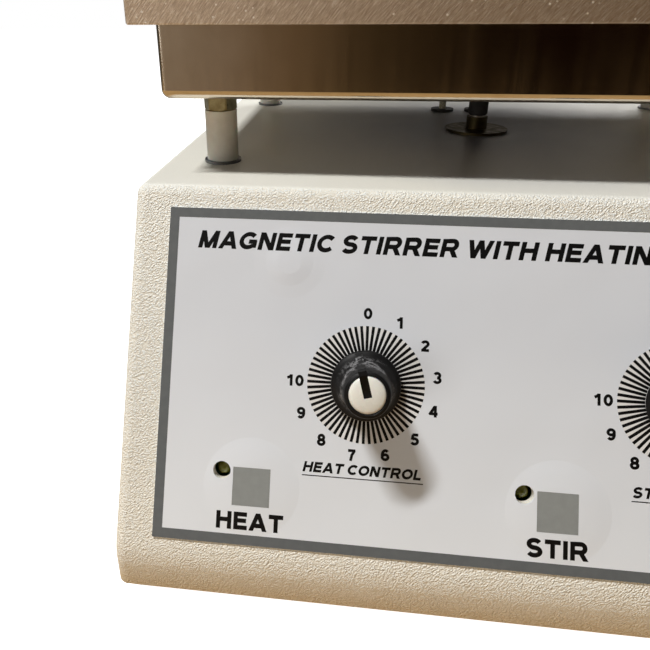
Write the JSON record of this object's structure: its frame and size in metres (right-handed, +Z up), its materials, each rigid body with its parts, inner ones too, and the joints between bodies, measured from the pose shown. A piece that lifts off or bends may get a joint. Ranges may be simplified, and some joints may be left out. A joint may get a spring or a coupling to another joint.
{
  "type": "magnetic stirrer",
  "caption": "Bench magnetic stirrer with a heated plate on spacers above a sloping-front case, with turning knobs, push keys and indicator lamps.",
  "frame": {"origin": "under the middle of the machine, on the surface that its feet stand on", "axes": "+Z up, -Y towards the operator's side with the sloping front panel, +X to the operator's right"},
  "size_m": [0.263, 0.2674, 0.1913],
  "materials": {
    "case_plastic": "fine leather grain, satin",
    "base_steel": "powder coat",
    "panel_film": "satin film",
    "key_grey": "satin",
    "knob_black": "satin, scuffed",
    "cap_ivory": "gloss",
    "lamp_green": "clear tinted",
    "plate_aluminium": "sawn edges",
    "pan_stainless": "bright brushed",
    "spacer_nylon": "translucent white",
    "zinc_steel": "zinc plated",
    "yellow_zinc": "yellow zinc plate",
    "black_rubber": "matt",
    "black_plastic": "satin",
    "terminal_plastic": "matt",
    "board_laminate": "solder mask",
    "dark_steel": "varnished",
    "copper_winding": "lacquered wire",
    "contact_brass": "plain",
    "pot_metal": "plated",
    "magnet_nickel": "nickel plate",
    "insulation_fibre": "pressed fibre board",
    "lead_sleeve": "woven glass sleeve"
  },
  "bodies": {
    "housing": {"case_shell": "case_plastic", "base_plate": "base_steel", "transformer_foot": "base_steel", "front_film": "panel_film", "heat_lamp": "lamp_green", "stir_lamp": "lamp_green", "hot_plate": "plate_aluminium", "triac_heatsink": "plate_aluminium", "heater_pan": "pan_stainless", "element_clamps": "pan_stainless", "heating_element": "pan_stainless", "insulating_spacers": "spacer_nylon", "spacer_washers": "zinc_steel", "thin_washers": "zinc_steel", "plate_studs": "zinc_steel", "pot_washers": "zinc_steel", "pot_nuts": "zinc_steel", "inlet_screws": "zinc_steel", "floor_screws": "zinc_steel", "base_screws": "zinc_steel", "foot_screws": "zinc_steel", "board_screws": "zinc_steel", "board_pillars": "zinc_steel", "front_board_pillars": "zinc_steel", "motor_bracket": "zinc_steel", "stud_nuts": "yellow_zinc", "rubber_feet": "black_rubber", "lead_grommets": "black_rubber", "power_inlet": "black_plastic", "fuse_holder": "black_plastic", "push_switches": "black_plastic", "smoothing_capacitor": "black_plastic", "terminal_block": "terminal_plastic", "control_board": "board_laminate", "front_board": "board_laminate", "motor_can": "dark_steel", "transformer_core": "dark_steel", "thermal_cutout": "dark_steel", "transformer_coil": "copper_winding", "inlet_contacts": "contact_brass", "shaft_bearing": "contact_brass", "potentiometers": "pot_metal", "insulation_board": "insulation_fibre", "heater_leads": "lead_sleeve"},
    "heat_control": {"heat_knob": "knob_black", "heat_knob_cap": "cap_ivory", "heat_pot_shaft": "pot_metal"},
    "stir_control": {"stir_knob": "knob_black", "stir_knob_cap": "cap_ivory", "stir_pot_shaft": "pot_metal"},
    "heat_button": {"heat_key": "key_grey", "heat_switch_plunger": "black_plastic"},
    "stir_button": {"stir_key": "key_grey", "stir_switch_plunger": "black_plastic"},
    "stirring_drive": {"drive_shaft": "zinc_steel", "motor_rotor": "dark_steel", "shaft_hub": "black_rubber", "magnet_carrier": "plate_aluminium", "drive_magnets": "magnet_nickel"}
  },
  "joints": [
    {"name": "heat_knob_turn", "type": "hinge", "parent": "housing", "child": "heat_control", "pos_m": [-0.0503, -0.10668, 0.07631], "axis": [0, 0.8926, -0.4509], "range_deg": [0, 300]},
    {"name": "heat_key_press", "type": "slide", "parent": "housing", "child": "heat_button", "axis": [0, 0.8926, -0.4509], "range_m": [0, 0.0005], "stiffness_N_per_m": 800, "springref_m": -0.0003},
    {"name": "stir_knob_turn", "type": "hinge", "parent": "housing", "child": "stir_control", "pos_m": [0.04387, -0.10668, 0.07631], "axis": [0, 0.8926, -0.4509], "range_deg": [0, 300]},
    {"name": "stir_key_press", "type": "slide", "parent": "housing", "child": "stir_button", "axis": [0, 0.8926, -0.4509], "range_m": [0, 0.0005], "stiffness_N_per_m": 800, "springref_m": -0.0003},
    {"name": "drive_spin", "type": "hinge", "parent": "housing", "child": "stirring_drive", "pos_m": [0, 0.02292, 0.1317], "axis": [0, 0, 1], "continuous": true}
  ]
}
